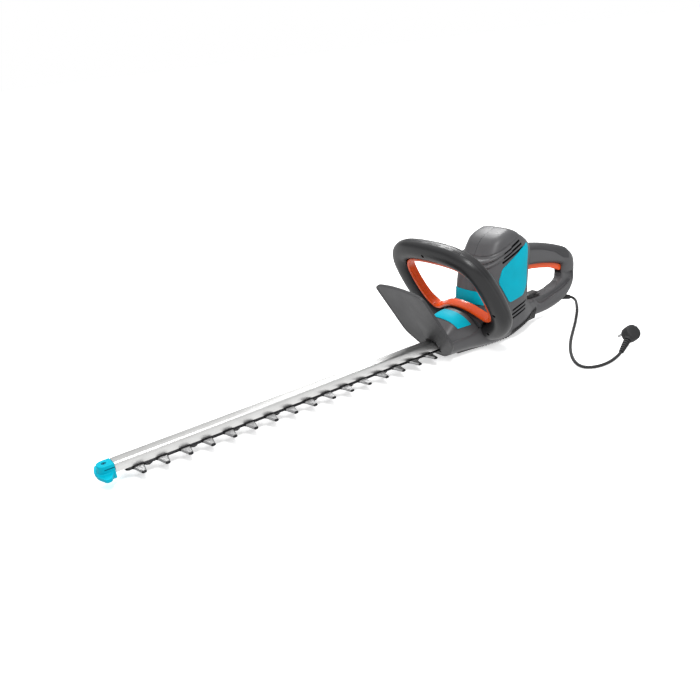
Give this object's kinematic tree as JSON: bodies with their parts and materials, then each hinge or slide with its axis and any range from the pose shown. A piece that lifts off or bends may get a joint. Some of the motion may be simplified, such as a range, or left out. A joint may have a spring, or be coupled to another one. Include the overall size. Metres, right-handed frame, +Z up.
{
  "type": "electric hedge trimmer",
  "caption": "Corded electric hedge trimmer: upright motor housing, looped front handle, rear grip, hand guard and a long double-sided toothed blade.",
  "frame": {"origin": "centre of the bounding box's base, lead and plug left out: on the surface the tool stands on, under its middle", "axes": "+X runs along the blade from its tip towards the rear grip, +Z up, +Y to the tool's left-hand side seen from the rear"},
  "size_m": [0.9134, 0.3453, 0.1977],
  "materials": {
    "body": "satin",
    "dark": "matte",
    "teal": "satin",
    "orange": "satin",
    "steel": "ground",
    "rail": "brushed",
    "black_steel": "blackened",
    "rubber": "matte",
    "copper": "wound",
    "stator": "laminated"
  },
  "bodies": {
    "trimmer": {"base_plate": "dark", "blade_bolt_1": "black_steel", "blade_bolt_2": "black_steel", "blade_bolt_3": "black_steel", "blade_bolt_4": "black_steel", "blade_bolt_5": "black_steel", "blade_bolt_6": "black_steel", "blade_bolt_7": "black_steel", "blade_bolt_8": "black_steel", "cable_hook": "dark", "cord": "rubber", "cord_gland": "rubber", "cover_collar": "dark", "cover_insert": "teal", "front_handle_front": "body", "front_handle_rear": "body", "front_switch": "dark", "gear_bearing": "steel", "gearbox_cover": "body", "guide_rail": "rail", "hand_guard": "body", "housing_left": "body", "housing_right": "body", "lower_bearing": "steel", "motor_cap": "body", "motor_stator": "stator", "plug": "rubber", "plug_pin_1": "steel", "plug_pin_2": "steel", "plug_strain_relief": "rubber", "rear_grip_insert": "rubber", "rear_switch": "dark", "side_panel_left": "teal", "side_panel_right": "teal", "tip_protector": "teal", "tip_screw": "black_steel", "tower_band": "teal", "upper_bearing": "steel"},
    "armature": {"armature_shaft": "copper"},
    "gear": {"drive_gear": "steel"},
    "blade_upper": {"upper_blade": "steel"},
    "blade_lower": {"lower_blade": "steel"},
    "bail": {"front_switch_bail": "orange"},
    "trigger": {"rear_trigger": "orange"}
  },
  "joints": [
    {"name": "armature_spin", "type": "hinge", "parent": "trimmer", "child": "armature", "pos_m": [0.24455, 0, 0.027], "axis": [0, 0, 1], "continuous": true},
    {"name": "gear_spin", "type": "hinge", "parent": "trimmer", "child": "gear", "pos_m": [0.20705, 0, 0.027], "axis": [0, 0, 1], "continuous": true},
    {"name": "upper_blade_slide", "type": "slide", "parent": "trimmer", "child": "blade_upper", "axis": [1, 0, 0], "range_m": [-0.00825, 0.00825]},
    {"name": "lower_blade_slide", "type": "slide", "parent": "trimmer", "child": "blade_lower", "axis": [1, 0, 0], "range_m": [-0.00825, 0.00825]},
    {"name": "bail_press", "type": "slide", "parent": "trimmer", "child": "bail", "axis": [-0.4664, 0, 0.8846], "range_m": [0, 0.003], "stiffness_N_per_m": 1500},
    {"name": "rear_trigger_press", "type": "hinge", "parent": "trimmer", "child": "trigger", "pos_m": [0.32605, 0, 0.105], "axis": [0, -1, 0], "range_deg": [0, 2.8], "stiffness_Nm_per_rad": 6}
  ],
  "couplings": [
    {"joint": "gear_spin", "follows": "armature_spin", "ratio": -0.23333},
    {"joint": "lower_blade_slide", "follows": "upper_blade_slide", "ratio": -1}
  ]
}
